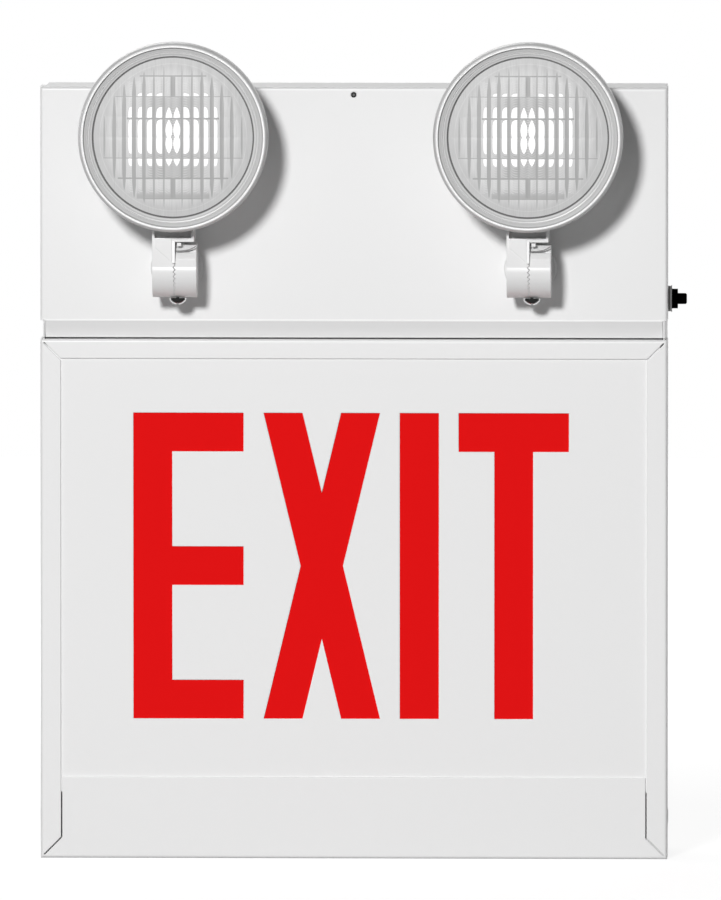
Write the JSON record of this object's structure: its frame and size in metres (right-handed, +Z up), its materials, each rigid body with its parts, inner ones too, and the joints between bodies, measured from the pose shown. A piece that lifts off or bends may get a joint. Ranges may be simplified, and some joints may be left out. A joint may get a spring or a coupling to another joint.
{
  "type": "emergency exit light",
  "caption": "Wall-mounted steel emergency exit light: a box with a stencilled illuminated sign face below and round aimable lamp heads on its upper cover.",
  "frame": {"origin": "middle of the four wall holes, on the back plane of the box", "axes": "+Z up, +Y into the wall so that the sign and lamps face -Y, +X to the viewer's right"},
  "size_m": [0.4281, 0.168, 0.5451],
  "materials": {
    "cabinet_white": "satin",
    "head_white": "satin",
    "lens_glass": "gloss",
    "reflector": "polished",
    "lamp_glass": "gloss",
    "red_acrylic": "gloss",
    "zinc": "satin",
    "white_screw": "satin",
    "black_plastic": "matte",
    "battery_case": "matte",
    "brass": "satin",
    "laminations": "satin",
    "coil_tape": "matte",
    "board_green": "gloss",
    "relay_blue": "gloss",
    "capacitor_sleeve": "gloss",
    "heat_sink_black": "matte",
    "terminal_green": "gloss",
    "bar_aluminium": "satin",
    "led_white": "gloss",
    "bare_steel": "satin"
  },
  "bodies": {
    "cabinet": {"back_box": "cabinet_white", "upper_cover": "cabinet_white", "sign_frame": "cabinet_white", "stencil_face": "cabinet_white", "red_diffuser": "red_acrylic", "divider_shelf": "cabinet_white", "face_clips": "bare_steel", "cover_screw": "zinc", "frame_screws": "white_screw", "battery": "battery_case", "battery_terminals": "brass", "battery_strap": "zinc", "strap_screws": "zinc", "transformer_core": "laminations", "transformer_coil": "coil_tape", "charger_board": "board_green", "board_standoffs": "zinc", "board_screws": "zinc", "relay": "relay_blue", "capacitor": "capacitor_sleeve", "heat_sink": "heat_sink_black", "terminal_block": "terminal_green", "led_bar_upper": "bar_aluminium", "led_bar_lower": "bar_aluminium", "led_strip_upper": "led_white", "led_strip_lower": "led_white", "switch_body": "black_plastic", "switch_nut": "zinc", "switch_spring": "bare_steel", "switch_terminals": "brass"},
    "button": {"test_button": "black_plastic"},
    "left_swivel": {"left_swivel_base": "head_white", "left_swivel_locknut": "zinc", "left_tilt_bolt": "zinc", "left_lock_screw": "zinc"},
    "left_lamp": {"left_lamp_shell": "head_white", "left_lamp_rim": "head_white", "left_lamp_lens": "lens_glass", "left_lamp_reflector": "reflector", "left_lamp_bulb": "lamp_glass"},
    "right_swivel": {"right_swivel_base": "head_white", "right_swivel_locknut": "zinc", "right_tilt_bolt": "zinc", "right_lock_screw": "zinc"},
    "right_lamp": {"right_lamp_shell": "head_white", "right_lamp_rim": "head_white", "right_lamp_lens": "lens_glass", "right_lamp_reflector": "reflector", "right_lamp_bulb": "lamp_glass"}
  },
  "joints": [
    {"name": "test_press", "type": "slide", "parent": "cabinet", "child": "button", "axis": [-1, 0, 0], "range_m": [0, 0.0025], "stiffness_N_per_m": 1000, "springref_m": -0.001, "deforming": ["switch_spring"]},
    {"name": "left_swing", "type": "hinge", "parent": "cabinet", "child": "left_swivel", "pos_m": [-0.1171, -0.095, 0.1363], "axis": [0, 1, 0], "range_deg": [-90, 30]},
    {"name": "left_tilt", "type": "hinge", "parent": "left_swivel", "child": "left_lamp", "pos_m": [-0.1171, -0.128, 0.1363], "axis": [1, 0, 0], "range_deg": [0, 60]},
    {"name": "right_swing", "type": "hinge", "parent": "cabinet", "child": "right_swivel", "pos_m": [0.1171, -0.095, 0.1363], "axis": [0, 1, 0], "range_deg": [-30, 90]},
    {"name": "right_tilt", "type": "hinge", "parent": "right_swivel", "child": "right_lamp", "pos_m": [0.1171, -0.128, 0.1363], "axis": [1, 0, 0], "range_deg": [0, 60]}
  ]
}
